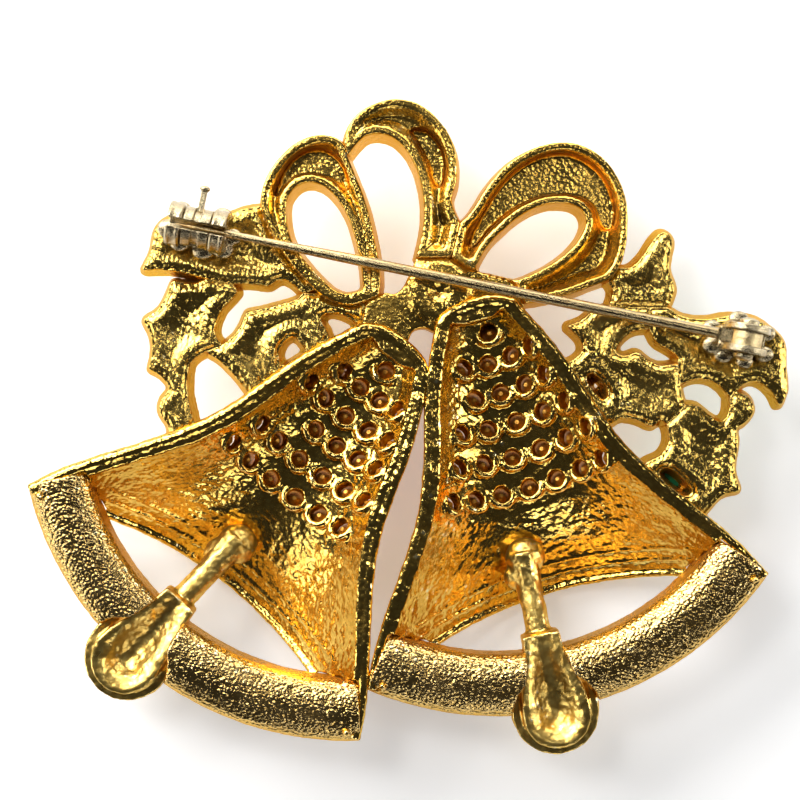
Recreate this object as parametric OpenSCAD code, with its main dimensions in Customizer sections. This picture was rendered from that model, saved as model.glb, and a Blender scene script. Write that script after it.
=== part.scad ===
// Christmas bells brooch, lying on its front: +X across, +Y towards the bow, +Z out of its back.
// All lengths are in millimetres.

/* [Overall] */
// Width of the whole brooch, which scales the casting in plan
brooch_width = 62; // [50:1:76]
// Height of the bells' back rims above the surface that the front rests on
bell_depth = 9; // [7:0.5:11]

/* [Casting] */
// Thickness of the bell shells
shell_wall = 1.2; // [0.8:0.1:1.6]
// Thickness of the bow ribbons, front to back
ribbon_thick = 4; // [3:0.5:5]
// Depth of the channel in the back of the bow ribbons
channel_depth = 2.2; // [1:0.2:2.6]
// Thickness of the holly leaves
leaf_thick = 2.2; // [1.4:0.2:3]
// Thickness of the enamel on the front of the leaves
enamel_thick = 0.3; // [0.2:0.1:0.5]
// Radius of the clapper balls
clapper_r = 3.6; // [3:0.1:4]
// Radius of the clapper stems
clapper_stem_r = 1.05; // [0.8:0.05:1.3]

/* [Stones] */
// Diameter of each rhinestone at its girdle
stone_d = 1.9; // [1.5:0.1:2.3]
// Width of the ledge that holds the edge of each stone
stone_ledge = 0.25; // [0.15:0.05:0.35]
// Clearance around each stone in its seat
stone_clear = 0.01; // [0.005:0.005:0.03]

/* [Pin] */
// Radius of the pin stem
pin_r = 0.45; // [0.35:0.05:0.6]
// Radius of the pin where it enters the catch
pin_tip_r = 0.3; // [0.25:0.05:0.35]
// Height of the pin's centreline above the back of the holly leaves
pin_lift = 2.2; // [2:0.1:3]
// Radius of the rivet
rivet_r = 0.45; // [0.3:0.05:0.6]
// Clearance between the rivet and the eye of the stem
rivet_clear = 0.04; // [0.02:0.01:0.1]
// Outer radius of the eye of the stem
eye_r = 1.3; // [1.1:0.1:1.5]
// Thickness of the eye of the stem
eye_thick = 1.1; // [0.9:0.1:1.4]
// Gap between the eye and each ear
ear_gap = 0.06; // [0.04:0.01:0.15]
// Thickness of each ear of the joint bracket
ear_thick = 0.55; // [0.4:0.05:0.8]
// Half length of each ear along the stem
ear_r = 1.8; // [1.6:0.1:2]

/* [Catch] */
// Outer radius of the housing rings
ring_r = 1.75; // [1.65:0.05:1.9]
// Length of each housing ring
ring_len = 1.2; // [1:0.1:1.5]
// Bore radius of the housing rings
ring_bore_r = 1.15; // [1.05:0.05:1.2]
// Clearance between the turning sleeve and the rings
sleeve_clear = 0.05; // [0.02:0.01:0.08]
// Radius of the hole in the turning sleeve
sleeve_bore_r = 0.6; // [0.5:0.05:0.7]
// Radius of the collar on the turning sleeve
collar_r = 1.6; // [1.4:0.05:1.65]
// Length of the collar
collar_len = 2.2; // [1.8:0.1:2.6]
// Width of the slots that let the pin in
slot_w = 0.7; // [0.66:0.02:0.9]
// Length of the thumb lever beyond the collar
lever_len = 1.6; // [1:0.1:2]
// Thickness of the soldered base plates
base_thick = 0.45; // [0.3:0.05:0.6]

/* [Hidden] */
$fn = 64;

u = brooch_width / 62;
eps = 0.01;
tall = 60;

// Heights of the faces that look out of the back
rim_z = bell_depth;
bow_back_z = rim_z - 0.4;
leaf_back_z = rim_z - 1;
pin_z = leaf_back_z + pin_lift;
enamel_margin = 0.5;       // gold left bare around each enamelled leaf

// Bells: crown point, then the angle that the bell hangs away from straight down
left_crown = [-0.5, 7] * u;
left_hang = -37.5;
right_crown = [5.4, 10.2] * u;
right_hang = 16;

// Half widths of a bell along its length at the back rim: [distance from crown, half width]
bell_curve = [
    [0.2, 2.6], [1, 3.5], [3.5, 4.8], [7, 6.2], [10.5, 7.2], [13.5, 8.2], [16.5, 9.7],
    [20, 12.1], [22.5, 13.9], [24.6, 15.3], [26.5, 16.4], [28, 17]
];
lip_s = 25.3 * u;          // near lip, at the middle of the bell
lip_bow_r = 45 * u;        // radius of the near lip's curve in plan
axis_tilt = 15;            // lean of the bell's axis against the back plane
band_s = 7 * u;            // centre of the far lip's arc
band_in_r = 22 * u;
band_out_r = 27.1 * u;
band_span = 39.5;          // half of the arc that the far lip covers, in degrees
band_deep = 4.4;           // far lip, front to back
band_wall = 1;
band_crown = 0.5;          // how far the far lip stands above the back rim

// The shell is part of a round bell whose axis is above the back plane and leans towards the lip.
// Its radius about that axis follows from the half width at the back rim.
lip_w = 14.2 * u;
lip_at = 23 * u;
lip_deep = (bell_depth - 0.05) / cos(axis_tilt);
axis_rise = ((lip_w * lip_w - lip_deep * lip_deep) / (2 * lip_deep) - lip_at * sin(axis_tilt))
    / cos(axis_tilt);
function reach(s) = s * sin(axis_tilt) + axis_rise * cos(axis_tilt);
function along(s) = s * cos(axis_tilt) - axis_rise * sin(axis_tilt);
function bell_r(s, w) = sqrt(w * w + reach(s) * reach(s));
bell_profile = [for (p = bell_curve * u) [bell_r(p[0], p[1]), along(p[0])]];
function radius_at(a) = lookup(a, [for (p = bell_profile) [p[1], p[0]]]);

stone_hole_d = stone_d - 2 * stone_ledge;
seat_deep = 0.35;

// Stone rows: [distance along the bell's axis, number, first angle, step]
left_rows = [
    [1.9, 1, 7, 20], [4, 4, -35, 28], [6.4, 5, -50, 25], [8.7, 4, -12, 20.5],
    [11.3, 6, -45, 19], [13.9, 6, -46, 17]
];
right_rows = [
    [1.9, 1, 12, 20], [4.1, 4, -31, 29], [6.5, 4, -21, 23.5], [9, 5, -37, 22.5],
    [11.6, 6, -41, 19.5], [14.2, 7, -45, 16]
];

// Middle of the knot's front, which reaches down to the surface
knot_foot = [2.6, 11.2] * u;

// Clappers: root on the bell, [distance from crown, sideways], and swing away from the bell's axis
clapper_len = 12.2 * u;
left_root = [22.2, -1] * u;
left_swing = -5.5;
right_root = [22, -1.7] * u;
right_swing = -4.5;
clapper_root_z = rim_z - 5;
clapper_ball_z = rim_z - 2.6;

// Pin and catch, in plan
hinge_at = [27.4, 7.25] * u;
catch_at = [-17, 16.25] * u;
pin_run = norm(hinge_at - catch_at);
pin_angle = atan2(catch_at[1] - hinge_at[1], catch_at[0] - hinge_at[0]);
sleeve_r = ring_bore_r - sleeve_clear;
collar_play = 0.1;
catch_half = collar_len / 2 + collar_play + ring_len;
tip_len = 14;
tip_point = 1.6;
rivet_len = eye_thick + 2 * ear_gap + 2 * ear_thick;

// Outlines in plan. A point with a third value is a sharp corner, the rest lie on a smooth curve.
left_loop = [
    [-2.3, 10.9, 1], [-3.4, 10.4, 1], [-5, 10.1], [-6.8, 10.8], [-8.2, 12], [-9.6, 13.6],
    [-10.8, 15.4], [-11.7, 17.2], [-12, 18.8], [-11.5, 20.6], [-10.4, 22.2], [-9, 23.4],
    [-7.3, 24], [-5.9, 23.8], [-5.2, 23.3, 1], [-4.9, 22.3, 1], [-4.4, 21], [-3.8, 19.6],
    [-3.2, 17.8], [-2.8, 16], [-2.4, 14], [-2.2, 12.4]
];
left_loop_eye = [
    [-3.6, 11.3, 1], [-3.8, 13.4], [-4.3, 15.6], [-5, 17.6], [-6.2, 19.3], [-7.6, 20.1],
    [-8.9, 19.9], [-9.8, 18.8], [-9.9, 17.2], [-9.4, 15.2], [-8, 13.3], [-6.2, 11.5], [-5, 11, 1]
];
left_loop_channel = [
    [-11, 19], [-10.4, 21], [-9, 22.6], [-7.2, 23.1], [-5.7, 22.3], [-4.9, 20.8], [-4.9, 19.4],
    [-6, 20.3], [-7.6, 20.9], [-9.2, 20.7], [-10.3, 19.4]
];
middle_loop = [
    [-5.2, 23.3, 1], [-4.9, 24.6], [-4, 25.8], [-2.6, 26.6], [-1, 26.95], [0.8, 26.6],
    [2.3, 25.5], [3.4, 24], [4, 22.2], [4, 20.2], [3.6, 18.6], [4.3, 16.8, 1], [3.6, 14, 1],
    [0.7, 14, 1], [1.2, 16], [1.35, 18], [1.1, 20], [0.4, 22], [-0.8, 23.5], [-2.2, 24.1],
    [-3.6, 23.8], [-4.9, 22.3, 1]
];
middle_loop_channel = [
    [0.2, 24.6], [1.6, 24.6], [2.8, 23.3], [3.2, 21.6], [2.8, 19.8], [2, 20.4], [1.6, 22],
    [0.8, 23.5]
];
right_loop = [
    [4.3, 16.8, 1], [5.3, 17.8], [6.6, 19.9], [8.4, 21.8], [10.6, 23], [13, 23.4], [15.2, 22.7],
    [16.8, 21.2], [17.8, 19], [18, 16.8], [17.8, 14.6], [17.2, 13], [16.4, 12.1, 1], [15, 11.6],
    [13.4, 11], [11.4, 10.5], [9.6, 10.2, 1], [8.8, 12, 1], [5.3, 13, 1], [3.6, 14, 1]
];
right_loop_eye = [
    [5.5, 12.95, 1], [6.4, 14.7], [7.8, 16.2], [9.4, 17.5], [11.2, 18.3], [13, 18.4],
    [14.2, 17.9], [14.6, 16.9], [14.2, 15.7], [13.3, 14.6], [11.9, 13.5], [10.2, 12.6],
    [8.9, 12.1, 1]
];
right_loop_channel = [
    [5, 15.4], [6.3, 17.9], [8, 20.4], [10.2, 22.1], [12.8, 22.7], [15, 21.9], [16.5, 20.2],
    [17.2, 18], [16.9, 16.4], [15.9, 16.6], [15.3, 18.3], [13.8, 19.1], [11, 19.1], [8.7, 18],
    [6.9, 16.5], [5.6, 14.9]
];
knot = [
    [-2.3, 10.9, 1], [-1.8, 11.2], [-1.2, 11], [-0.5, 11.4], [0.2, 12.6], [0.7, 14, 1],
    [3.6, 14, 1], [5.3, 13, 1], [8.8, 12, 1], [9.6, 10.2, 1], [9, 8.4, 1], [4, 7, 1],
    [2.6, 7.6, 1], [1.4, 8.2], [0.4, 8, 1], [-0.4, 6, 1], [-4, 7, 1], [-3.4, 10.4, 1]
];
leaf_catch = [
    [-11, 19, 1], [-12.1, 18.2, 1], [-13.4, 18], [-14.8, 17.5], [-16.4, 17.5], [-18.2, 17.6],
    [-19.9, 17.1], [-20.7, 16.2], [-21, 14.6], [-21.8, 13, 1], [-20.2, 13.1], [-18.2, 12.8],
    [-16.4, 12.3, 1], [-14.4, 11.9, 1], [-13, 11.9], [-11.4, 11.7, 1], [-10.4, 12.3],
    [-9.4, 11.9], [-8.6, 11.1, 1], [-6, 12, 1], [-9, 17, 1]
];
leaf_outer = [
    [-16.4, 12.3, 1], [-17.4, 11.8], [-18.4, 11.9], [-19.3, 12.1, 1], [-19.8, 10.8], [-20.5, 9.7],
    [-21.7, 8.9, 1], [-21.1, 7.8], [-20.9, 6.5], [-21.2, 4.9, 1], [-20.2, 4.3], [-19.5, 3.3],
    [-20.2, 2.3], [-20.3, 1.3], [-19.6, 0.3, 1], [-19.4, -2, 1], [-17, -2, 1], [-17.5, 0.2, 1],
    [-17.8, 1.4], [-18.1, 2.8], [-18.1, 4.2], [-17.8, 5.5], [-16.6, 6.3, 1], [-15.2, 6.8, 1],
    [-15.8, 7.6], [-15.8, 8.6], [-15.3, 9.7], [-14.6, 10.5], [-14, 11.2, 1], [-14.4, 11.9, 1]
];
leaf_inner = [
    [-16.6, 6.3, 1], [-15.4, 5.6], [-14.2, 4.4], [-13.1, 3, 1], [-12, 1, 1], [-2, 6, 1],
    [-2.6, 10, 1], [-3.4, 10.6, 1], [-8.6, 11.1, 1], [-9, 10.6], [-10.2, 10.2], [-11.8, 9.8],
    [-13.2, 9.5, 1], [-13.6, 8.5], [-14.2, 7.6], [-15.2, 6.8, 1]
];
leaf_inner_eyes = [
    [[-7.2, 9.2], [-6, 9.5], [-4.8, 9.1], [-4, 8.4], [-5, 7.5], [-6.2, 7], [-6.7, 8.1]],
    [[-10.6, 6.2], [-10.1, 7.2], [-9.3, 7.6], [-8.7, 7], [-8.3, 6.3], [-9.4, 5.5], [-10.4, 5.1]]
];
spray_top = [
    [16, 13.4, 1], [18, 13.1], [19.2, 13.9], [20.2, 15.4], [21, 16.1], [21.7, 15.5],
    [21.5, 14.2], [21.4, 13], [21.9, 11.4], [21.3, 9.9, 1], [19.9, 9.9, 1], [16.6, 10, 1],
    [16.9, 11.3], [16.4, 12.1, 1], [15, 12.6, 1]
];
spray_inner = [
    [13.1, 8.4, 1], [14.3, 8.8], [15.3, 9.6], [16.6, 10, 1], [19.9, 9.9, 1], [19.9, 8.2, 1],
    [18.5, 8], [17.4, 7.1], [17, 6.1, 1], [17.9, 5.9], [18.9, 6.2], [19.8, 5.5], [20.9, 5.1],
    [22.2, 5.3, 1], [22.4, 3.6, 1], [22.5, 2.7], [22.8, 1.9, 1], [21.3, 0.3, 1], [20.8, 0.8],
    [20.1, 0.2], [18.9, 0.7], [17.6, 0.9], [16.9, 0.5, 1], [15, 0, 1], [12, 5, 1],
    [13.7, 5.6, 1], [14.4, 6.3], [14.3, 7.2], [13.7, 7.9]
];
spray_inner_eye = [[14.6, 4.2], [15.2, 4.6], [16, 4], [16.5, 3], [16.2, 2.2], [15.3, 2.9]];
spray_hinge = [
    [19.9, 9.9, 1], [21.3, 9.9, 1], [22.7, 9.1], [24.6, 8.9], [26.4, 9.2], [28.4, 9], [29.8, 8.2],
    [30.9, 7], [31, 5.2], [31.15, 3.2], [30.6, 1.8, 1], [30, 3], [28.8, 3.9], [27.6, 3.7],
    [27, 3, 1], [26.5, 2.6, 1], [25.8, 3.4], [24.8, 4], [23.6, 4.1], [22.4, 3.6, 1],
    [22.2, 5.3, 1], [22.3, 5.9], [21.5, 6.5], [20.5, 7.1], [19.9, 8.2, 1]
];
spray_lower = [
    [26.5, 2.6, 1], [27, 3, 1], [28, 2.5], [28.4, 1.5], [27.7, 0.5], [26.9, 0.1, 1],
    [27.1, -1.2], [26.8, -3.4], [27.3, -5.1, 1], [25.8, -5.5], [24.6, -6.8, 1], [23, -9, 1],
    [17, -4, 1], [18.8, -3.4, 1], [19.9, -2.7, 1], [20.9, -2.2], [21.5, -1.2], [21.5, -0.3],
    [21.3, 0.3, 1], [22.8, 1.9, 1], [23.8, 1.8], [24.8, 1], [25.8, 0.5], [26.4, 1.3]
];
spray_lower_eye = [[20.6, -3.6], [21.5, -3.2], [22.8, -4.2], [23.5, -5.2], [22.8, -5.6], [21.4, -4.7]];

// Smooth closed curve through a list of points
function item(list, i) = list[(i + len(list)) % len(list)];
function plan(p) = [p[0], p[1]];
function sharp(p) = len(p) == 3;
function blend(a, b, ta, tb, t) =
    a * (2 * t * t * t - 3 * t * t + 1) + ta * (t * t * t - 2 * t * t + t)
    + b * (3 * t * t - 2 * t * t * t) + tb * (t * t * t - t * t);
function span_steps(a, b) = sharp(a) && sharp(b) ? 1 : 3;
function smooth(list) = [
    for (i = [0 : len(list) - 1])
    let (
        a = plan(item(list, i)),
        b = plan(item(list, i + 1)),
        before = sharp(item(list, i)) ? a : plan(item(list, i - 1)),
        after = sharp(item(list, i + 1)) ? b : plan(item(list, i + 2)),
        steps = span_steps(item(list, i), item(list, i + 1))
    )
    for (k = [0 : steps - 1]) blend(a, b, (b - before) / 2, (after - a) / 2, k / steps)
];

module plate(outline, low, high) {
    translate([0, 0, low]) linear_extrude(high - low) scale(u) polygon(smooth(outline));
}

module ribbon(outline, channel) {
    difference() {
        plate(outline, bow_back_z - ribbon_thick, bow_back_z);
        plate(channel, bow_back_z - channel_depth, bow_back_z + 1);
    }
}

// A bell's own frame: +X along the bell from crown to mouth, the back rim at its height
module bell_frame(crown, hang) {
    translate([crown[0], crown[1], rim_z]) rotate(hang - 90) children();
}

// The leaning axis of the round bell, as +Z
module bell_axis() {
    translate([0, 0, axis_rise]) rotate([0, 90 - axis_tilt, 0]) children();
}

module bell_solid(inset) {
    points = [for (p = bell_profile) [p[0] - inset, p[1]]];
    first = points[0];
    last = points[len(points) - 1];
    bell_axis() rotate_extrude()
        polygon(concat([[0, first[1] + inset], [first[0], first[1] + inset]],
            [for (i = [1 : len(points) - 1]) points[i]], [[last[0], 40 * u], [0, 40 * u]]));
}

module back_half() {
    translate([-10, -tall / 2, -tall / 2]) cube([tall, tall, tall / 2]);
}

module near_lip_cut() {
    translate([lip_s + lip_bow_r, 0, -tall / 2]) cylinder(h = tall, r = lip_bow_r, $fn = 200);
}

module band_room(r) {
    translate([band_s, 0, -tall / 2]) difference() {
        cylinder(h = tall, r = 60 * u);
        translate([0, 0, -1]) cylinder(h = tall + 2, r = r);
    }
}

// Everything inside the outer face of a bell
module bell_blank() {
    difference() {
        bell_solid(0);
        near_lip_cut();
    }
}

module stone_places(rows) {
    bell_axis() for (row = rows) for (i = [0 : row[1] - 1])
        rotate(row[2] + row[3] * i) translate([radius_at(row[0] * u), 0, row[0] * u])
            rotate([0, -90, 0]) children();
}

// A stone points inwards along +Z, with its table just above the bell's outer face
module stone() {
    table = 0.25;
    back_r = (stone_hole_d + stone_ledge / 2) / 2;
    rotate_extrude($fn = 24) polygon([
        [0, -table], [stone_d * 0.3, -table], [stone_d / 2, 0], [back_r, seat_deep], [0, seat_deep]
    ]);
}

module stone_seat() {
    above = 2;
    translate([0, 0, -above]) cylinder(h = above + seat_deep, d = stone_d + 2 * stone_clear, $fn = 24);
    cylinder(h = shell_wall + above, d = stone_hole_d, $fn = 24);
}

// Room for the stones' fronts in whatever crosses in front of a bell
module left_stone_room() {
    bell_frame(left_crown, left_hang) stone_places(left_rows) stone_clearance();
}

module right_stone_room() {
    bell_frame(right_crown, right_hang) stone_places(right_rows) stone_clearance();
}

module stone_clearance() {
    above = 0.4;
    translate([0, 0, -above]) cylinder(h = above + seat_deep, d = stone_d + 10 * stone_clear, $fn = 24);
}

module bell_shell() {
    difference() {
        intersection() {
            bell_solid(0);
            back_half();
        }
        bell_solid(shell_wall);
        near_lip_cut();
        band_room(band_in_r);
    }
}

module arch_profile() {
    low = band_crown - band_deep;
    wide = (band_out_r - band_in_r) / 2;
    mid = (band_out_r + band_in_r) / 2;
    rise = 1.6;                // height of the arch's rounded top
    crest = [for (t = [0 : 15 : 180]) [mid - wide * cos(t), band_crown - rise + rise * sin(t)]];
    inner = [for (t = [180 : -30 : 0])
        [mid - (wide - band_wall) * cos(t), band_crown - rise + (rise - band_wall) * sin(t)]];
    polygon(concat([[mid - wide, low]], crest, [[mid + wide, low], [mid + wide - band_wall, low]],
        inner, [[mid - wide + band_wall, low]]));
}

module bell_band() {
    translate([band_s, 0, 0]) rotate(-band_span)
        rotate_extrude(angle = 2 * band_span, $fn = 160) arch_profile();
}

module clapper_frame(root, swing) {
    translate([root[0], root[1], -rim_z]) rotate(swing) children();
}

module clapper_ball(r) {
    translate([clapper_len, 0, clapper_ball_z]) sphere(r = r);
}

module clapper_stem(r) {
    rise = clapper_ball_z - clapper_root_z;
    translate([0, 0, clapper_root_z]) rotate([0, 90 - atan2(rise, clapper_len), 0])
        cylinder(h = norm([rise, clapper_len]), r = r);
}

module clapper_room() {
    clapper_ball(clapper_r);
    translate([clapper_len, 0, clapper_ball_z]) cylinder(h = tall, r = clapper_r);
    clapper_stem(clapper_stem_r);
}

module clapper() {
    cup_r = clapper_r - 1;
    cup_lift = 0.9;
    bowl_top = clapper_ball_z + 1.6;
    difference() {
        union() {
            intersection() {
                clapper_ball(clapper_r);
                cube([4 * clapper_len, 4 * clapper_len, 2 * bowl_top], center = true);
            }
            clapper_stem(clapper_stem_r);
        }
        translate([clapper_len, 0, clapper_ball_z + cup_lift]) sphere(r = cup_r);
        translate([clapper_len, 0, clapper_ball_z + cup_lift]) cylinder(h = tall, r = cup_r);
    }
}

module left_bell_blank() {
    bell_frame(left_crown, left_hang) bell_blank();
}

module right_bell_blank() {
    bell_frame(right_crown, right_hang) bell_blank();
}

// The right bell's whole outline, which the left bell stops against where the two cross
module right_bell_room() {
    bell_frame(right_crown, right_hang) translate([0, 0, -tall / 2]) linear_extrude(tall)
        polygon(concat(
            [for (p = bell_curve * u) [p[0], -p[1]]],
            [for (t = [-band_span : 5 : band_span]) [band_s + band_out_r * cos(t), band_out_r * sin(t)]],
            [for (i = [len(bell_curve) - 1 : -1 : 0]) bell_curve[i] * u]));
}

module left_bell_shell() color("goldenrod") difference() {
    bell_frame(left_crown, left_hang) bell_shell();
    right_bell_room();
    bell_frame(left_crown, left_hang) stone_places(left_rows) stone_seat();
}

module left_bell_lip() color("gold") difference() {
    bell_frame(left_crown, left_hang) difference() {
        bell_band();
        clapper_frame(left_root, left_swing) clapper_room();
    }
    right_bell_room();
}

module left_clapper() color("khaki") bell_frame(left_crown, left_hang) difference() {
    clapper_frame(left_root, left_swing) clapper();
    difference() {
        bell_solid(-3);
        bell_solid(shell_wall);
        near_lip_cut();
    }
}

module left_bell_stones() color("firebrick")
    bell_frame(left_crown, left_hang) stone_places(left_rows) stone();

module right_bell_shell() color("goldenrod") bell_frame(right_crown, right_hang) difference() {
    bell_shell();
    stone_places(right_rows) stone_seat();
}

module right_bell_lip() color("gold") bell_frame(right_crown, right_hang) difference() {
    bell_band();
    clapper_frame(right_root, right_swing) clapper_room();
}

module right_clapper() color("khaki") bell_frame(right_crown, right_hang) difference() {
    clapper_frame(right_root, right_swing) clapper();
    difference() {
        bell_solid(-3);
        bell_solid(shell_wall);
        near_lip_cut();
    }
}

module right_bell_stones() color("firebrick")
    bell_frame(right_crown, right_hang) stone_places(right_rows) stone();

module bow_left_loop() color("goldenrod") difference() {
    ribbon(left_loop, left_loop_channel);
    plate(left_loop_eye, -1, tall);
    left_bell_blank();
}

module bow_middle_loop() color("gold") ribbon(middle_loop, middle_loop_channel);

module bow_right_loop() color("goldenrod") difference() {
    ribbon(right_loop, right_loop_channel);
    plate(right_loop_eye, -1, tall);
    right_bell_blank();
}

// The knot stands down to the surface that the front rests on
module bow_knot() color("gold") difference() {
    union() {
        plate(knot, bow_back_z - ribbon_thick, bow_back_z);
        translate([knot_foot[0], knot_foot[1], 0])
            cylinder(h = bow_back_z - ribbon_thick + eps, r1 = 1.6, r2 = 3);
    }
    left_bell_blank();
    right_bell_blank();
    left_stone_room();
    right_stone_room();
}

module leaf(outline, eyes = []) difference() {
    plate(outline, leaf_back_z - leaf_thick, leaf_back_z);
    for (eye = eyes) plate(eye, -1, tall);
    leaf_room();
}

// What the leaves stop against: the bells and the bow
module leaf_room() {
    left_bell_blank();
    right_bell_blank();
    plate(left_loop, -1, tall);
    plate(right_loop, -1, tall);
    plate(knot, -1, tall);
}

module left_leaf_catch() color("darkgoldenrod") leaf(leaf_catch);
module left_leaf_outer() color("goldenrod") leaf(leaf_outer);
module left_leaf_inner() color("darkgoldenrod") difference() {
    leaf(leaf_inner, leaf_inner_eyes);
    left_stone_room();
}
module right_leaf_top() color("darkgoldenrod") leaf(spray_top);
module right_leaf_inner() color("goldenrod") difference() {
    leaf(spray_inner, [spray_inner_eye]);
    right_stone_room();
}
module right_leaf_hinge() color("darkgoldenrod") leaf(spray_hinge);
module right_leaf_lower() color("goldenrod") leaf(spray_lower, [spray_lower_eye]);

module enamel(outline) difference() {
    translate([0, 0, leaf_back_z - leaf_thick - enamel_thick]) linear_extrude(enamel_thick)
        offset(delta = -enamel_margin) scale(u) polygon(smooth(outline));
    leaf_room();
}

module left_holly_enamel() color("green") {
    for (outline = [leaf_catch, leaf_outer]) enamel(outline);
}

module right_holly_enamel() color("green") {
    for (outline = [spray_top, spray_hinge, spray_lower]) enamel(outline);
}

// Pin frame: origin at the rivet, +X along the stem towards the catch, +Y along the rivet
module pin_frame() {
    translate([hinge_at[0], hinge_at[1], pin_z]) rotate(pin_angle) children();
}

module crosswise(h, r) {
    rotate([90, 0, 0]) cylinder(h = h, r = r, center = true);
}

module pin_stem() color("silver") {
    body_len = pin_run - tip_len;
    root_len = 2.4;
    root_w = 2 * pin_r + 0.1;
    thin_at = pin_run - catch_half - 0.5;
    reach_len = pin_run + catch_half - 0.6;
    point_r = 0.05;
    pin_frame() difference() {
        union() {
            crosswise(eye_thick, eye_r);
            translate([0, -root_w / 2, -root_w / 2]) cube([root_len, root_w, root_w]);
            rotate([0, 90, 0]) cylinder(h = body_len, r = pin_r);
            translate([body_len, 0, 0]) rotate([0, 90, 0])
                cylinder(h = thin_at - body_len, r1 = pin_r, r2 = pin_tip_r);
            translate([thin_at, 0, 0]) rotate([0, 90, 0])
                cylinder(h = reach_len - tip_point - thin_at, r = pin_tip_r);
            translate([reach_len - tip_point, 0, 0]) rotate([0, 90, 0])
                cylinder(h = tip_point, r1 = pin_tip_r, r2 = point_r);
        }
        crosswise(eye_thick * 2, rivet_r + rivet_clear);
    }
}

module hinge_rivet() color("silver") pin_frame() {
    head_r = rivet_r + 0.35;
    head_thick = 0.3;
    crosswise(rivet_len, rivet_r);
    for (side = [-1, 1]) translate([0, side * (rivet_len + head_thick) / 2, 0])
        crosswise(head_thick, head_r);
}

module hinge_bracket() color("silver") pin_frame() {
    width = rivet_len;
    difference() {
        union() {
            translate([-ear_r, -width / 2, -pin_lift]) cube([2 * ear_r, width, base_thick]);
            for (side = [-1, 1]) translate([0, side * (width - ear_thick) / 2, 0]) {
                crosswise(ear_thick, ear_r);
                translate([-ear_r, -ear_thick / 2, -pin_lift]) cube([2 * ear_r, ear_thick, pin_lift]);
            }
        }
        translate([-2 * ear_r, -width, -pin_lift - ear_r]) cube([4 * ear_r, 2 * width, ear_r]);
        crosswise(width * 2, rivet_r);
    }
}

module catch_frame() {
    pin_frame() translate([pin_run, 0, 0]) children();
}

module tube(x, h, r) {
    translate([x, 0, 0]) rotate([0, 90, 0]) cylinder(h = h, r = r);
}

module pin_slot(length) {
    translate([-length / 2, -slot_w / 2, 0]) cube([length, slot_w, 2 * ring_r]);
}

module catch_housing() color("silver") catch_frame() difference() {
    foot_w = ring_r * 1.6;
    union() {
        for (side = [-1, 1]) {
            start = side < 0 ? -catch_half : catch_half - ring_len;
            tube(start, ring_len, ring_r);
            translate([start, -foot_w / 2, -pin_lift]) cube([ring_len, foot_w, pin_lift - 1]);
        }
        translate([-catch_half, -foot_w / 2, -pin_lift]) cube([2 * catch_half, foot_w, base_thick]);
    }
    tube(-catch_half - 1, 2 * catch_half + 2, ring_bore_r);
    pin_slot(2 * catch_half + 2);
}

module catch_sleeve() color("gainsboro") catch_frame() {
    ridge = 0.25;
    ridge_len = 0.8;
    lever_w = 0.5;
    difference() {
        union() {
            tube(-catch_half, 2 * catch_half, sleeve_r);
            tube(-collar_len / 2, collar_len, collar_r - ridge);
            for (x = [-collar_len / 2, collar_len / 2 - ridge_len]) tube(x, ridge_len, collar_r);
            translate([-lever_w / 2, -collar_r - lever_len, -lever_w / 2])
                cube([lever_w, lever_len + collar_r / 2, lever_w]);
        }
        tube(-catch_half - 1, 2 * catch_half + 2, sleeve_bore_r);
        pin_slot(2 * catch_half + 2);
    }
}

left_bell_shell();
left_bell_lip();
left_clapper();
left_bell_stones();
right_bell_shell();
right_bell_lip();
right_clapper();
right_bell_stones();
bow_left_loop();
bow_middle_loop();
bow_right_loop();
bow_knot();
left_leaf_catch();
left_leaf_outer();
left_leaf_inner();
right_leaf_top();
right_leaf_inner();
right_leaf_hinge();
right_leaf_lower();
left_holly_enamel();
right_holly_enamel();
catch_housing();
catch_sleeve();
hinge_bracket();
hinge_rivet();
pin_stem();
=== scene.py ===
import math
import bpy
from mathutils import Matrix, Vector
from mathutils.kdtree import KDTree


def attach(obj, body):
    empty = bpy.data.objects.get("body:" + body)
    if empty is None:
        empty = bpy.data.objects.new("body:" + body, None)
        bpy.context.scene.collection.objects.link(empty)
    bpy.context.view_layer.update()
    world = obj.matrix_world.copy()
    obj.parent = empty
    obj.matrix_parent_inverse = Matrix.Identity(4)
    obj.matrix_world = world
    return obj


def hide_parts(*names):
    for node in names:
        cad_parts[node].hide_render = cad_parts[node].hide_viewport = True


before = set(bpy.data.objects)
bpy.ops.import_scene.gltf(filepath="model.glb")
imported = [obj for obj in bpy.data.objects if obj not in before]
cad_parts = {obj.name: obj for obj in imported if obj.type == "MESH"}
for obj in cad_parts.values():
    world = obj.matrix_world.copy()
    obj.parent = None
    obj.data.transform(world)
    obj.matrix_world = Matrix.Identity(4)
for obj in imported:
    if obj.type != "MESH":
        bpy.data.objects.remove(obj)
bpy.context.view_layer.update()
print("frame loaded:", len(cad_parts), "nodes")

# Everything is shaped in millimetres and shrunk to metres when it is placed.
mm = 0.001


def deselectAll():
    if bpy.context.object and bpy.context.object.mode != "OBJECT":
        bpy.ops.object.mode_set(mode="OBJECT")
    bpy.ops.object.select_all(action="DESELECT")


def pick(*objs):
    deselectAll()
    for o in objs:
        o.select_set(True)
    bpy.context.view_layer.objects.active = objs[0]
    return objs[0]


def applyModifier(obj, kind, **settings):
    pick(obj)
    mod = obj.modifiers.new(kind.title(), kind)
    for key, value in settings.items():
        setattr(mod, key, value)
    bpy.ops.object.modifier_apply(modifier=mod.name)
    return obj


def bake(obj, matrix=None):
    # moves a mesh by a matrix and leaves the object at the origin
    if matrix is not None:
        obj.matrix_world = matrix @ obj.matrix_world
    pick(obj)
    bpy.ops.object.transform_apply(location=True, rotation=True, scale=True)
    return obj


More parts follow.
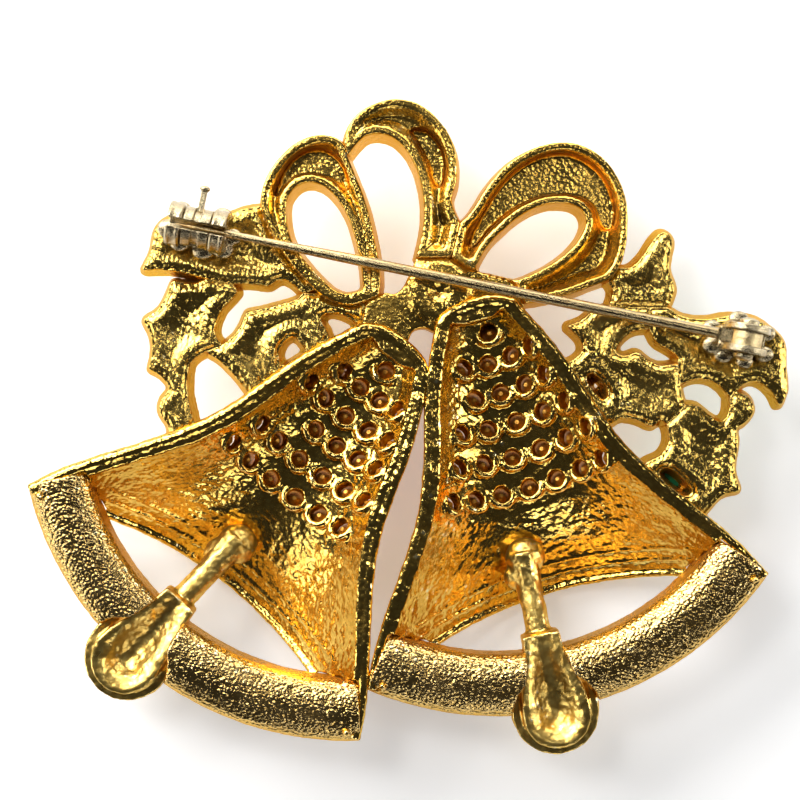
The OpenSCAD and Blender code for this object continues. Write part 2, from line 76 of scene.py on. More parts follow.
def joinAll(name, objs):
    pick(*objs)
    if len(objs) > 1:
        bpy.ops.object.join()
    obj = bpy.context.view_layer.objects.active
    obj.name = name
    return obj


def copyOfNode(name, label):
    # a merged copy of a CAD node, in millimetres
    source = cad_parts[name]
    obj = bpy.data.objects.new(label, source.data.copy())
    bpy.context.scene.collection.objects.link(obj)
    obj.data.materials.clear()
    obj.matrix_world = Matrix.Scale(1 / mm, 4)
    bake(obj)
    bpy.ops.object.mode_set(mode="EDIT")
    bpy.ops.mesh.select_all(action="SELECT")
    bpy.ops.mesh.remove_doubles(threshold=0.002)
    bpy.ops.object.mode_set(mode="OBJECT")
    return obj


def sweep(points, radius, closed=False, widths=None):
    # a round bead along a list of points
    pts = [Vector(p) for p in points]
    while len(pts) < 5:
        pts = [pts[0]] + [(a + b) / 2 for a, b in zip(pts, pts[1:])] + [pts[-1]]
    deselectAll()
    bpy.ops.curve.primitive_nurbs_path_add(location=(0, 0, 0))
    path = bpy.context.active_object
    spline = path.data.splines[0]
    spline.points.add(len(pts) - len(spline.points))
    for i, p in enumerate(pts):
        spline.points[i].co = (p.x, p.y, p.z, 1)
        spline.points[i].radius = widths(i / (len(pts) - 1)) if widths else 1
    spline.use_cyclic_u = closed
    spline.use_endpoint_u = not closed
    spline.order_u = 3
    spline.resolution_u = 4
    path.data.bevel_depth = radius
    path.data.bevel_resolution = 3
    path.data.use_fill_caps = True
    bpy.ops.object.convert(target="MESH")
    return bpy.context.active_object


def ring(radius, thick, matrix, around=28, section=10):
    deselectAll()
    bpy.ops.mesh.primitive_torus_add(major_radius=radius, minor_radius=thick,
                                     major_segments=around, minor_segments=section)
    return bake(bpy.context.active_object, matrix)


def blob(radius, place, squash=(1, 1, 1), turn=0):
    deselectAll()
    bpy.ops.mesh.primitive_ico_sphere_add(subdivisions=3, radius=radius)
    size = Matrix.Diagonal((*squash, 1))
    return bake(bpy.context.active_object,
                Matrix.Translation(place) @ Matrix.Rotation(math.radians(turn), 4, "Z") @ size)


def cloudTexture(name, size, depth):
    tex = bpy.data.textures.new(name, "CLOUDS")
    tex.noise_scale = size
    tex.noise_depth = depth
    return tex


def reskin(obj, voxel):
    return applyModifier(obj, "REMESH", mode="VOXEL", voxel_size=voxel, adaptivity=0)


def cast(obj, voxel, soften, lumps=()):
    # one metal skin over everything joined so far, rounded and roughened as a casting is
    reskin(obj, voxel)
    applyModifier(obj, "SMOOTH", factor=0.5, iterations=soften)
    for tex, strength in lumps:
        applyModifier(obj, "DISPLACE", texture=tex, texture_coords="LOCAL",
                      strength=strength, mid_level=0.5)
    pick(obj)
    bpy.ops.object.shade_smooth()
    return obj


outlineStep = 0.12  # between the points that stand for an outline


def outlineTree(obj):
    # points along the outline of a flat piece's front face, for finding how far in a place is
    mesh = obj.data
    low = min(v.co.z for v in mesh.vertices)
    flat = set()
    for face in mesh.polygons:
        if face.normal.z < -0.9 and all(mesh.vertices[i].co.z < low + 0.01 for i in face.vertices):
            for key in face.edge_keys:
                flat.symmetric_difference_update([key])
    points = []
    for a, b in flat:
        a, b = mesh.vertices[a].co, mesh.vertices[b].co
        count = max(1, int((a - b).length / outlineStep))
        points += [a.lerp(b, i / count) for i in range(count)]
    tree = KDTree(len(points))
    for i, point in enumerate(points):
        tree.insert((point.x, point.y, 0), i)
    tree.balance()
    return tree


def ease(value, low, high):
    # 0 below low, 1 above high, and a smooth rise between
    t = min(1, max(0, (value - low) / (high - low)))
    return t * t * (3 - 2 * t)


def sculpt(obj, move):
    # hands each point and its normal to a function that gives its new place
    mesh = obj.data
    normals = [Vector(n.vector) for n in mesh.vertex_normals]
    for vertex, normal in zip(mesh.vertices, normals):
        vertex.co = move(vertex.co.copy(), normal)
    mesh.update()
    return obj


def place(obj, body, slot, materials, replaces=()):
    obj.matrix_world = Matrix.Scale(mm, 4) @ obj.matrix_world
    bake(obj)
    if materials is not None:
        obj.data.materials.clear()
        for m in materials:
            obj.data.materials.append(m)
    if replaces:
        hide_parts(*replaces)
    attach(obj, body)
    return obj


class Wire:
    # a socket that can be added, multiplied and so on
    def __init__(self, maker, socket):
        self.maker = maker
        self.socket = socket

    def math(self, operation, *others):
        return self.maker.add("ShaderNodeMath", {"operation": operation},
                              dict(enumerate((self,) + others)))

    def __add__(self, other): return self.math("ADD", other)
    def __radd__(self, other): return self.math("ADD", other)
    def __mul__(self, other): return self.math("MULTIPLY", other)
    def __rmul__(self, other): return self.math("MULTIPLY", other)
    def __sub__(self, other): return self.math("SUBTRACT", other)

    def __rsub__(self, other):
        return self.maker.add("ShaderNodeMath", {"operation": "SUBTRACT"}, {0: other, 1: self})


socketNames = {
    "colour": "Base Color", "rough": "Roughness", "metal": "Metallic", "normal": "Normal",
    "coat": "Coat Weight", "coatRough": "Coat Roughness", "grazing": "Specular Tint",
    "glow": "Emission Color", "glowPower": "Emission Strength",
}


class Finish:
    # a material under construction
    def __init__(self, name):
        self.material = bpy.data.materials.new(name)
        self.material.use_nodes = True
        self.nodes = self.material.node_tree.nodes
        self.links = self.material.node_tree.links
        self.shader = self.nodes["Principled BSDF"]
        self.where = self.add("ShaderNodeTexCoord", out="Object")

    def add(self, kind, settings=None, inputs=None, out=0):
        node = self.nodes.new(kind)
        for key, value in (settings or {}).items():
            setattr(node, key, value)
        for key, value in (inputs or {}).items():
            if isinstance(value, Wire):
                self.links.new(value.socket, node.inputs[key])
            else:
                node.inputs[key].default_value = value
        return Wire(self, node.outputs[out])

    def noise(self, size, detail=2.0, rough=0.5, vector=None):
        return self.add("ShaderNodeTexNoise", None, {
            "Vector": vector or self.where, "Scale": 1 / (size * mm), "Detail": detail,
            "Roughness": rough})

    def stretch(self, scale, turn=0):
        return self.add("ShaderNodeMapping", None, {
            "Vector": self.where, "Rotation": (0, 0, math.radians(turn)), "Scale": scale})

    def blend(self, factor, a, b):
        return self.add("ShaderNodeMix", {"data_type": "RGBA"}, {0: factor, 6: a, 7: b}, out=2)

    def remap(self, value, low, high, newLow=0.0, newHigh=1.0):
        return self.add("ShaderNodeMapRange", None, {
            0: value, 1: low, 2: high, 3: newLow, 4: newHigh})

    def bump(self, height, depth):
        return self.add("ShaderNodeBump", None,
                        {"Height": height, "Distance": depth * mm, "Strength": 1.0})

    def set(self, **values):
        for key, value in values.items():
            socket = self.shader.inputs[socketNames[key]]
            if isinstance(value, Wire):
                self.links.new(value.socket, socket)
            else:
                socket.default_value = value
        return self.material


goldTones = {  # from painted shade in hollows to painted highlight on edges
    # painted shade for the hollows
    "deep": (0.16, 0.07, 0.01, 1),
    # painted shade for the valleys between pebbles
    "amber": (0.60, 0.33, 0.05, 1),
    "gold": (0.92, 0.66, 0.17, 1),
    "olive": (0.80, 0.53, 0.12, 1),
    # painted highlight for edges that face up
    "paleHighlight": (1.0, 0.86, 0.50, 1),
    # painted shade for steep side walls
    "wall": (0.56, 0.30, 0.035, 1),
    "grazing": (1, 0.72, 0.34, 1),
}


def castGold(name, grain, grainDepth, rough, deep=1.0, wallShade=0.6, edgeHighlight=0.9, rows=None,
             tint=None):
    # plated casting: pebbles in the skin, painted shade in hollows and pebble valleys, painted
    # highlight on up-facing edges and amber painted shade on steep side walls
    f = Finish(name)
    peak = f.add("ShaderNodeNewGeometry", out="Pointiness")
    facing = f.add("ShaderNodeSeparateXYZ", None, {0: f.add("ShaderNodeTexCoord", out="Normal")},
                   out=2)
    pebble = f.add("ShaderNodeTexVoronoi", {"feature": "SMOOTH_F1"}, {
        "Vector": f.stretch((1, rows[0], 1), rows[1]) if rows else f.where,
        "Scale": 1 / (grain * mm), "Smoothness": 0.5, "Randomness": 0.7 if rows else 1.0})
    fine = f.noise(grain * 0.5, 2.0)
    broad = f.noise(3.2, 3.0)  # slow change of tone and shine
    height = (1 - pebble) * 0.8 + fine * 0.3
    # painted shade: hollows found by pointiness are darkened towards the deep tone
    hollow = f.remap(peak, 0.43, 0.495, 1.0, 0.0)
    # painted highlight: sharp edges that face up are paled
    edge = f.remap(peak, 0.53, 0.62) * f.remap(facing, 0.1, 0.5)
    # painted shade: steep side walls are turned a darker amber, and made rougher and less metallic
    steepWallShade = f.remap(facing.math("ABSOLUTE"), 0.15, 0.6, wallShade, 0.0)
    tone = f.blend(f.remap(broad, 0.35, 0.65), goldTones["gold"], goldTones["olive"])
    if tint:
        tone = f.blend(0.6, tone, tint)
    # painted shade: the valleys between pebbles are darkened towards amber
    tone = f.blend(f.remap(height, 0.35, 0.8, 0.6, 0.0), tone, goldTones["amber"])
    tone = f.blend(steepWallShade, tone, goldTones["wall"])
    tone = f.blend(hollow * deep, tone, goldTones["deep"])
    tone = f.blend(edge * edgeHighlight, tone, goldTones["paleHighlight"])
    shine = f.remap(broad, 0.3, 0.7, rough - 0.04, rough + 0.08) + steepWallShade * 0.1
    return f.set(colour=tone, rough=shine, metal=1 - steepWallShade * 0.15, grazing=goldTones["grazing"],
                 normal=f.bump(height, grainDepth))


# painted shade for creases
creaseShadeTone = (0.10, 0.06, 0.02, 1)


def plainMetal(name, colour, dark, rough):
    # drawn and stamped metal, with fine scratches along the pin and painted shade in creases
    f = Finish(name)
    wear = f.noise(0.5, 3.0)
    scratch = f.noise(1, 2.0, 0.6, f.stretch((900, 7000, 7000), 11.5))
    # painted shade: creases found by pointiness are darkened
    creaseShade = f.remap(f.add("ShaderNodeNewGeometry", out="Pointiness"), 0.4, 0.49, 1.0, 0.0)
    tone = f.blend(f.remap(wear, 0.5, 0.8), colour, dark)
    tone = f.blend(creaseShade, tone, creaseShadeTone)
    return f.set(colour=tone, rough=f.remap(scratch, 0.3, 0.7, rough - 0.05, rough + 0.12),
                 metal=1.0, normal=f.bump(scratch, 0.01))


def foilBack():
    f = Finish("amberFoil")
    grain = f.noise(0.25, 2.0)
    return f.set(colour=f.blend(grain, (0.30, 0.12, 0.015, 1), (0.62, 0.32, 0.05, 1)),
                 rough=0.34, metal=0.8, normal=f.bump(grain, 0.04))


def redGlass():
    f = Finish("redGlass")
    tint = f.noise(0.8, 1.0)
    return f.set(colour=f.blend(tint, (0.45, 0.01, 0.02, 1), (0.70, 0.03, 0.04, 1)),
                 rough=0.06, coat=1.0, coatRough=0.03)


def greenEnamel():
    f = Finish("greenEnamel")
    pool = f.noise(1.2, 2.0)
    return f.set(colour=f.blend(pool, (0.01, 0.16, 0.05, 1), (0.03, 0.34, 0.13, 1)),
                 rough=0.12, coat=0.8, coatRough=0.05, normal=f.bump(pool, 0.05))


bellGold = castGold("bellGold", grain=0.4, grainDepth=0.05, rough=0.15, wallShade=0.35)
lipGold = castGold("lipGold", grain=0.34, grainDepth=0.12, rough=0.18, wallShade=0.7, rows=(1.3, 20),
                   tint=(0.66, 0.50, 0.28, 1))
bowGold = castGold("bowGold", grain=0.3, grainDepth=0.045, rough=0.2, wallShade=0.75, edgeHighlight=0.6,
                   tint=(0.84, 0.54, 0.11, 1))
leafGold = castGold("leafGold", grain=0.34, grainDepth=0.085, rough=0.2, wallShade=0.75, edgeHighlight=0.5,
                    rows=(0.6, 20), tint=(0.66, 0.48, 0.13, 1))
clapperGold = castGold("clapperGold", grain=0.5, grainDepth=0.04, rough=0.3, deep=0.4,
                       wallShade=0.3, tint=(1.0, 0.72, 0.22, 1))
catchMetal = plainMetal("catchMetal", (0.56, 0.46, 0.28, 1), (0.22, 0.15, 0.07, 1), 0.12)
wireMetal = plainMetal("wireMetal", (0.70, 0.54, 0.28, 1), (0.42, 0.29, 0.12, 1), 0.13)
amberFoil = foilBack()
glass = redGlass()
enamel = greenEnamel()
print("finishes made")

bell = {
    "rimZ": 9.0, "tilt": 15.0, "lipW": 14.2, "lipAt": 23.0, "wall": 1.2,
    "lipS": 25.3, "lipBow": 45.0, "bandS": 7.0, "bandOut": 27.1, "bandSpan": 38.7,
    "rimBead": 0.42, "rimInset": 0.35, "rimDrop": 0.28, "crownDrop": 0.3,
    "lipLines": ((0.25, 0.3), (1.5, 0.12), (2.5, 0.1)),  # how far back each bead is, and its radius
    "bandBead": 0.26, "bandBeadZ": -3.7, "voxel": 0.15, "clapperGap": 0.2,
    "curve": [(0.2, 2.6), (1, 3.5), (3.5, 4.8), (7, 6.2), (10.5, 7.2), (13.5, 8.2), (16.5, 9.7),
              (20, 12.1), (22.5, 13.9), (24.6, 15.3), (26.5, 16.4), (28, 17)],
}
sides = {
    "left": {"crown": (-0.5, 7), "hang": -37.5, "root": (22.2, -1), "swing": -5.5,
             "rows": [(1.9, 1, 7, 20), (4, 4, -35, 28), (6.4, 5, -50, 25), (8.7, 4, -12, 20.5),
                      (11.3, 6, -45, 19), (13.9, 6, -46, 17)]},
    "right": {"crown": (5.4, 10.2), "hang": 16, "root": (22, -1.7), "swing": -4.5,
              "rows": [(1.9, 1, 12, 20), (4.1, 4, -31, 29), (6.5, 4, -21, 23.5), (9, 5, -37, 22.5),
                      (11.6, 6, -41, 19.5), (14.2, 7, -45, 16)]},
}
tilt = math.radians(bell["tilt"])
deep = (bell["rimZ"] - 0.05) / math.cos(tilt)
# how far the centre line of the round bell is above its rim
axisRise = ((bell["lipW"] ** 2 - deep ** 2) / (2 * deep)
            - bell["lipAt"] * math.sin(tilt)) / math.cos(tilt)


def bellRadius(a):
    # radius of the round bell at a distance along its leaning axis
    pts = []
    for s, w in bell["curve"]:
        reach = s * math.sin(tilt) + axisRise * math.cos(tilt)
        pts.append((s * math.cos(tilt) - axisRise * math.sin(tilt), math.hypot(w, reach)))
    if a <= pts[0][0]:
        return pts[0][1]
    for (a0, r0), (a1, r1) in zip(pts, pts[1:]):
        if a <= a1:
            return r0 + (r1 - r0) * (a - a0) / (a1 - a0)
    return pts[-1][1]


def bellMatrix(side):
    crown = sides[side]["crown"]
    return (Matrix.Translation((crown[0], crown[1], bell["rimZ"]))
            @ Matrix.Rotation(math.radians(sides[side]["hang"] - 90), 4, "Z"))


axisMatrix = Matrix.Translation((0, 0, axisRise)) @ Matrix.Rotation(math.radians(90) - tilt, 4, "Y")


def onBell(a, angle, inset):
    # a point of the bell's wall, in the bell's own frame
    turn = Matrix.Rotation(math.radians(angle), 4, "Z")
    return axisMatrix @ turn @ Vector((bellRadius(a) - inset, 0, a))


def lipPoint(angle, inset, back):
    # where a line parallel to the near lip crosses the wall
    low, high = 5.0, 32.0
    for _ in range(30):
        a = (low + high) / 2
        p = onBell(a, angle, inset)
        gap = math.hypot(p.x - bell["lipS"] - bell["lipBow"] + back, p.y) - bell["lipBow"]
        if gap > 0:
            low = a
        else:
            high = a
    return onBell(low, angle, inset)


def stoneSpots(side):
    for a, count, first, step in sides[side]["rows"]:
        for i in range(count):
            turn = Matrix.Rotation(math.radians(first + step * i), 4, "Z")
            face = Matrix.Translation((bellRadius(a), 0, a)) @ Matrix.Rotation(-math.pi / 2, 4, "Y")
            yield axisMatrix @ turn @ face


lumpy = cloudTexture("lumpy", 1.1, 2)
pebbly = cloudTexture("pebbly", 0.45, 1)

gem = {"size": 1.9, "girdle": 0.1, "table": 0.25, "backSteps": ((0.7, 0.25), (0.25, 0.6)),
       "frontSteps": ((0.72, 0.25),), "facets": 16, "settingR": 0.95, "settingBead": 0.3}


def makeShell(side):
    home = bellMatrix(side)
    parts = [copyOfNode(side + "_bell_shell", side + "BellShell")]
    for spot in stoneSpots(side):
        inside = home @ spot @ Matrix.Translation((0, 0, bell["wall"]))
        parts.append(ring(gem["settingR"], gem["settingBead"], inside, 20, 8))
    for way in (-1, 1):
        bead = bell["rimBead"] * (1.3 if way < 0 and side == "left" else 1)  # the bold outer rim
        line = [home @ Vector((s, way * (w - bell["rimInset"]), -bell["rimDrop"]))
                for s, w in bell["curve"][1:]]
        parts.append(sweep(line, bead))
    crown = [(1, 3.15), (0.35, 2.4), (0.05, 1.2), (0, 0), (0.05, -1.2), (0.35, -2.4), (1, -3.15)]
    parts.append(sweep([home @ Vector((s, w, -bell["crownDrop"])) for s, w in crown],
                       bell["rimBead"] * 1.2))
    for back, bead in bell["lipLines"]:
        line = [home @ lipPoint(angle, bell["wall"], back) for angle in range(-66, 67, 6)]
        parts.append(sweep(line, bead))
    shell = joinAll(side + "BellShell", parts)
    cast(shell, bell["voxel"], 2, ((lumpy, 0.15), (pebbly, 0.04)))
    return place(shell, "brooch", "cast_gold", [bellGold], [side + "_bell_shell"])


clapper = {"length": 12.2, "rootZ": 4.0, "ballZ": 6.4, "ballR": 3.6, "spoonR": 2.8, "neck": 6.6,
           "neckR": 1.55, "wall": 0.36, "stemR": 1.1, "topZ": 8.5, "bowlDeep": 1.5, "neckDrop": 0.7,
           "bowlReach": 3.2, "collarDrop": 0.3, "collarInset": 0.35, "collarBead": 0.42,
           "voxel": 0.12}


def clapperMatrix(side):
    root = sides[side]["root"]
    return (bellMatrix(side) @ Matrix.Translation((root[0], root[1], -bell["rimZ"]))
            @ Matrix.Rotation(math.radians(sides[side]["swing"]), 4, "Z"))


def spoonWidth(x):
    # half width of the spoon, from its round end to the neck
    c = clapper
    if x > 0:
        return math.sqrt(max(0, c["spoonR"] ** 2 - x * x))
    return c["neckR"] + (c["spoonR"] - c["neckR"]) * (1 - ease(-x, 0, c["neck"]))


def spoonBody(side, low, high, grow=0.0):
    c = clapper
    deselectAll()
    bpy.ops.mesh.primitive_cylinder_add(vertices=72, radius=c["spoonR"], depth=high - low,
                                        location=(0, 0, (low + high) / 2))
    body = bake(bpy.context.active_object)

    def stretch(point, normal):
        if point.x < -0.01:
            point.x *= c["neck"] / c["spoonR"]
            point.y = math.copysign(spoonWidth(point.x), point.y)
        point.x *= 1 + grow / c["spoonR"]
        point.y *= 1 + grow / c["spoonR"]
        return point

    sculpt(body, stretch)
    return bake(body, clapperMatrix(side) @ Matrix.Translation((c["length"], 0, 0)))


def cutWith(obj, tool):
    applyModifier(obj, "BOOLEAN", operation="DIFFERENCE", object=tool, solver="EXACT")
    bpy.data.objects.remove(tool)
    return obj


def makeLip(side):
    lip = copyOfNode(side + "_bell_lip", side + "BellLip")
    home = bellMatrix(side)
    span = bell["bandSpan"]
    edge = []
    for i in range(40):
        turn = math.radians(-span + 2 * span * i / 39)
        edge.append(home @ Vector((bell["bandS"] + bell["bandOut"] * math.cos(turn),
                                   bell["bandOut"] * math.sin(turn), bell["bandBeadZ"])))
    lip = joinAll(side + "BellLip", [lip, sweep(edge, bell["bandBead"])])
    reskin(lip, bell["voxel"])
    cutWith(lip, spoonBody(side, 3, 12, -bell["clapperGap"]))  # room for the clapper's spoon
    cast(lip, bell["voxel"], 3, ((lumpy, 0.08), (pebbly, 0.03)))
    return place(lip, "brooch", "cast_gold", [lipGold], [side + "_bell_lip"])


def stemWidth(t):
    # thick at both ends and thin in the middle
    return 1.35 - 0.5 * math.sin(math.pi * t)


def makeClapper(side):
    # a spoon: its bowl crosses the lip and runs up into a stem that joins the bell
    c = clapper
    home = clapperMatrix(side)
    stem = [(x, 0, c["rootZ"] + (c["ballZ"] - c["rootZ"]) * x / c["length"])
            for x in (-0.8, 1, 3, 5, 6.5, 8)]
    top = Matrix.Translation((c["length"], 0, c["ballZ"] - c["collarDrop"]))
    parts = [copyOfNode(side + "_clapper", side + "Clapper"), spoonBody(side, 4.6, c["topZ"]),
             bake(sweep(stem, c["stemR"], widths=stemWidth), home),
             blob(1.7, home @ Vector((-0.5, 0.2, c["rootZ"] - 0.3)), (1, 1, 0.8)),
             blob(1.3, home @ Vector((0.8, -0.3, c["rootZ"] - 0.1)), (1.3, 1, 0.8), 30),
             blob(3.2, home @ Vector((c["length"], 0, c["ballZ"] - 0.2)), (1, 1, 0.6)),
             ring(c["ballR"] - c["collarInset"], c["collarBead"], home @ top, 40, 10)]
    piece = joinAll(side + "Clapper", parts)
    reskin(piece, c["voxel"])
    away = home.inverted()

    def hollow(point, normal):
        p = away @ point
        x = p.x - c["length"]
        if -c["neck"] - 0.3 < x < c["ballR"] + 0.5:
            wide = spoonWidth(x)
            if x > 0:
                inside = 1 - math.hypot(x, p.y) / c["spoonR"]
            else:
                inside = 1 - abs(p.y) / max(wide, 0.1)
            lean = ease(-x, 0, c["neck"])
            crest = c["topZ"] - c["neckDrop"] * lean
            if inside > 0:
                depth = c["bowlDeep"] * (1 - 0.75 * lean)
                roof = crest - depth * ease(inside, c["wall"] / c["bowlReach"], 0.95)
            else:
                roof = c["ballZ"] + 0.35
            p.z = min(p.z, roof)
        return home @ p

    sculpt(piece, hollow)
    cast(piece, c["voxel"], 3, ((lumpy, 0.16), (pebbly, 0.05)))
    return place(piece, "brooch", "cast_gold", [clapperGold], [side + "_clapper"])


def makeStones(side):
    # chatons: a faceted front, and a foiled cone that shows in the hole behind
    home = bellMatrix(side)
    deselectAll()
    r = gem["size"] / 2
    bpy.ops.mesh.primitive_cylinder_add(vertices=gem["facets"], radius=r, depth=gem["girdle"],
                                        location=(0, 0, gem["girdle"] / 2), end_fill_type="NGON")
    stone = bpy.context.active_object
    bpy.ops.object.transform_apply(location=True)
    bpy.ops.object.mode_set(mode="EDIT")
    bpy.ops.mesh.select_mode(type="FACE")
    for top, steps in ((False, gem["frontSteps"]), (True, gem["backSteps"])):
        bpy.ops.mesh.select_all(action="DESELECT")
        bpy.ops.object.mode_set(mode="OBJECT")
        for face in stone.data.polygons:
            face.select = (face.normal.z > 0.9) if top else (face.normal.z < -0.9)
        bpy.ops.object.mode_set(mode="EDIT")
        for size, rise in steps:
            bpy.ops.mesh.extrude_region_move(
                TRANSFORM_OT_translate={"value": (0, 0, rise if top else -rise)})
            bpy.ops.transform.resize(value=(size, size, 1))
    bpy.ops.object.mode_set(mode="OBJECT")
    for m in (glass, amberFoil):
        stone.data.materials.append(m)
    for face in stone.data.polygons:
        face.material_index = 1 if face.center.z > 0.9 * gem["girdle"] else 0  # foil behind
    copies = []
    for spot in stoneSpots(side):
        copy = stone.copy()
        copy.data = stone.data.copy()
        bpy.context.scene.collection.objects.link(copy)
        copy.matrix_world = home @ spot
        copies.append(copy)
    bpy.data.objects.remove(stone)
    stones = joinAll(side + "BellStones", copies)
    bake(stones)
    return place(stones, "brooch", "stones", None, [side + "_bell_stones"])


for side in sides:
    makeShell(side)
    makeLip(side)
    makeClapper(side)
    makeStones(side)
print("bells made")

bow = {"backZ": 8.6, "thick": 4.0, "rim": 0.4, "wall": 1.5, "draft": 0.35, "reach": 2.6,
       "skin": 0.3, "voxel": 0.14}


def makeRibbon(node, label, deep):
    # a ribbon is hollowed between thin raised edges
    piece = copyOfNode(node, label)
    tree = outlineTree(piece)
    cast(piece, bow["voxel"], 1)

    def shape(point, normal):
        gap = tree.find((point.x, point.y, 0))[2]
        if point.z > bow["backZ"] - bow["reach"]:
            roof = bow["backZ"] - deep * ease(gap, bow["rim"], bow["wall"])
            point.z = min(point.z, roof)
        if gap < bow["skin"]:
            out = bow["draft"] * (bow["backZ"] - point.z) / bow["thick"]
            point.x += normal.x * out
            point.y += normal.y * out
        return point

    sculpt(piece, shape)
    cast(piece, bow["voxel"], 3, ((lumpy, 0.06), (pebbly, 0.02)))
    return place(piece, "brooch", "cast_gold", [bowGold], [node])


for node, label, deep in (("bow_left_loop", "bowLeftLoop", 1.3),
                          ("bow_middle_loop", "bowMiddleLoop", 0.9),
                          ("bow_right_loop", "bowRightLoop", 1.6), ("bow_knot", "bowKnot", 0.5)):
    makeRibbon(node, label, deep)
print("bow made")

holly = {"backZ": 8.0, "thick": 2.2, "edge": 0.5, "edgeDrop": 0.3, "dish": 0.45,
         "dishFrom": 0.7, "dishTo": 2.2, "draft": 0.55, "skin": 0.3, "voxel": 0.13}


def makeLeaf(node, label):
    # rounded edges, a dished back and sides that widen towards the front
    piece = copyOfNode(node, label)
    tree = outlineTree(piece)
    cast(piece, holly["voxel"], 1)

    def shape(point, normal):
        gap = tree.find((point.x, point.y, 0))[2]
        if normal.z > 0.3:
            point.z -= (holly["edgeDrop"] * (1 - ease(gap, 0, holly["edge"]))
                        + holly["dish"] * ease(gap, holly["dishFrom"], holly["dishTo"]))
        if gap < holly["skin"]:
            out = holly["draft"] * (holly["backZ"] - point.z) / holly["thick"]
            point.x += normal.x * out
            point.y += normal.y * out
        return point

    sculpt(piece, shape)
    cast(piece, holly["voxel"], 2, ((lumpy, 0.08), (pebbly, 0.03)))
    return place(piece, "brooch", "cast_gold", [leafGold], [node])


for node, label in (("left_leaf_catch", "leftLeafCatch"), ("left_leaf_outer", "leftLeafOuter"),
                    ("left_leaf_inner", "leftLeafInner"), ("right_leaf_top", "rightLeafTop"),
                    ("right_leaf_inner", "rightLeafInner"), ("right_leaf_hinge", "rightLeafHinge"),
                    ("right_leaf_lower", "rightLeafLower")):
    makeLeaf(node, label)
print("holly made")

for node in ("left_holly_enamel", "right_holly_enamel"):
    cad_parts[node].data.materials.clear()
    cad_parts[node].data.materials.append(enamel)
pin = {"hinge": (27.4, 7.25), "catch": (-17, 16.25), "z": 10.2, "lift": 2.2, "ringR": 1.75,
       "ringLen": 1.2, "half": 2.4, "collarR": 1.6, "lever": 1.6, "boreR": 1.15, "slot": 0.7,
       "ridgeInset": 0.12, "ridgeBead": 0.2, "ridgeStep": 0.22, "voxel": 0.055}
hinge, catch = Vector(pin["hinge"]), Vector(pin["catch"])
alongPin = catch - hinge
pinMatrix = (Matrix.Translation((hinge.x, hinge.y, pin["z"]))
             @ Matrix.Rotation(math.atan2(alongPin.y, alongPin.x), 4, "Z"))
catchMatrix = pinMatrix @ Matrix.Translation((alongPin.length, 0, 0))
across = Matrix.Rotation(math.pi / 2, 4, "Y")


def makeFinding(node, label, body, extras, lumps=0.02):
    # a small finding with rounded edges, and solder where it meets the casting
    piece = joinAll(label, [copyOfNode(node, label)] + extras)
    cast(piece, pin["voxel"], 3, ((pebbly, lumps),))
    return place(piece, body, "findings", [catchMetal], [node])


housingExtras = []
for way in (-1, 1):
    for shift in (pin["ridgeStep"], pin["ringLen"] - pin["ridgeStep"]):
        ringAt = Matrix.Translation((way * (pin["half"] - shift), 0, 0)) @ across
        housingExtras.append(ring(pin["ringR"] - pin["ridgeInset"], pin["ridgeBead"],
                                  catchMatrix @ ringAt, 48, 10))
for x, y, size in ((-2.2, 1.2, 0.8), (-0.6, 1.5, 0.9), (1.4, 1.3, 0.8), (2.6, 0.4, 0.8),
                   (1.8, -1.3, 0.75), (-1.6, -1.4, 0.8), (-2.8, 0, 0.7)):
    solderAt = catchMatrix @ Vector((x, y, -pin["lift"] + 0.05))
    housingExtras.append(blob(size, solderAt, (1.1, 1, 0.55)))
# the pin's slot and bore are cut again after the ridges are on
housing = joinAll("catchHousing", [copyOfNode("catch_housing", "catchHousing")] + housingExtras)
reskin(housing, pin["voxel"])
deselectAll()
bpy.ops.mesh.primitive_cylinder_add(vertices=48, radius=pin["boreR"], depth=8)
bore = bake(bpy.context.active_object, catchMatrix @ across)
deselectAll()
bpy.ops.mesh.primitive_cube_add(size=1)
slotSize = Matrix.Diagonal((8, pin["slot"], 4, 1))
slotBox = bake(bpy.context.active_object,
               catchMatrix @ Matrix.Translation((0, 0, 2)) @ slotSize)
for tool in (bore, slotBox):
    cutWith(housing, tool)
cast(housing, pin["voxel"], 3, ((pebbly, 0.01),))
place(housing, "brooch", "findings", [catchMetal], ["catch_housing"])

leverTip = catchMatrix @ Vector((0, -pin["collarR"] - pin["lever"], 0))
sleeveExtras = [blob(0.36, leverTip, (1.2, 0.8, 1), -11)]
makeFinding("catch_sleeve", "catchSleeve", "catch_sleeve", sleeveExtras, 0.01)

bracketExtras = []
for x, y, size in ((2.2, 0.9, 0.8), (1.2, 1.5, 0.7), (2.6, -0.4, 0.75), (-2, 0.8, 0.7),
                   (-1.8, -0.9, 0.7), (0.6, -1.6, 0.7), (-0.6, 1.7, 0.6)):
    bracketExtras.append(blob(size, pinMatrix @ Vector((x, y, -pin["lift"])), (1.2, 1, 0.6)))
makeFinding("hinge_bracket", "hingeBracket", "brooch", bracketExtras)
pinTurn = math.degrees(math.atan2(alongPin.y, alongPin.x))
rivetHeads = [blob(0.8, pinMatrix @ Vector((0, way * 1.45, 0)), (1, 0.4, 1), pinTurn)
              for way in (-1, 1)]
makeFinding("hinge_rivet", "hingeRivet", "brooch", rivetHeads, 0.01)
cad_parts["pin_stem"].data.materials.clear()
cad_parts["pin_stem"].data.materials.append(wireMetal)
print("findings finished")

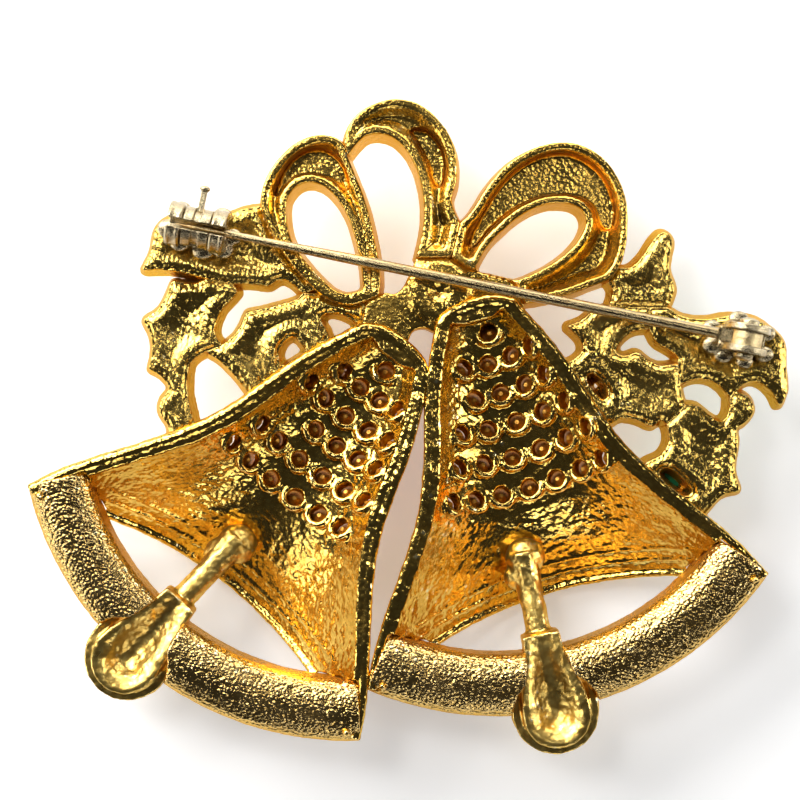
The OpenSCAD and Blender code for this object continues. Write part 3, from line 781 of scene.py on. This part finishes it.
studio = {
    "camera": (-0.61, 2.33, 168.5), "lens": 88.1,
    # soft boxes: place, size and how bright each is
    "boxes": [((-240, 230, 200), (300, 200), 10.0), ((60, 330, 120), (360, 110), 6.0),
              ((300, 20, 120), (80, 260), 5.0), ((-300, -90, 90), (90, 200), 4.0),
              ((-88, 84, 230), (70, 50), 11.0), ((70, 60, 240), (30, 30), 8.0),
              ((50, -250, 150), (150, 40), 4.5)],
    "world": 0.03, "floorGlow": 0.3, "floorSize": 1.6, "floorDrop": 0.03,
}
deselectAll()
bpy.ops.mesh.primitive_plane_add(size=studio["floorSize"],
                                 location=(0, 0, -studio["floorDrop"] * mm))
floor = bpy.context.active_object
floor.name = "floor"
bpy.ops.object.transform_apply(location=True, rotation=True, scale=True)
paper = Finish("paper")
sheet = paper.blend(paper.noise(30, 1.0), (0.93, 0.93, 0.93, 1), (0.96, 0.96, 0.96, 1))
floor.data.materials.append(paper.set(colour=sheet, rough=0.9, glow=(1, 1, 1, 1),
                                      glowPower=studio["floorGlow"]))

for at, size, power in studio["boxes"]:
    at = Vector(at) * mm
    deselectAll()
    bpy.ops.object.light_add(type="AREA", location=at)
    lamp = bpy.context.active_object
    lamp.data.shape = "RECTANGLE"
    lamp.data.size = size[0] * mm
    lamp.data.size_y = size[1] * mm
    lamp.data.energy = power * math.pi * size[0] * size[1] * mm * mm
    lamp.rotation_euler = (Vector((0, 0, 0)) - at).to_track_quat("-Z", "Y").to_euler()

world = bpy.data.worlds.new("studio")
world.use_nodes = True
world.node_tree.nodes["Background"].inputs[0].default_value = (1, 1, 1, 1)
world.node_tree.nodes["Background"].inputs[1].default_value = studio["world"]
bpy.context.scene.world = world

bpy.ops.object.camera_add(location=[v * mm for v in studio["camera"]], rotation=(0, 0, 0))
camera = bpy.context.active_object
camera.data.lens = studio["lens"]
camera.data.sensor_width = 36
camera.data.clip_start = 0.005
bpy.context.scene.camera = camera
bpy.context.scene.view_settings.view_transform = "Standard"
bpy.context.scene.view_settings.look = "None"
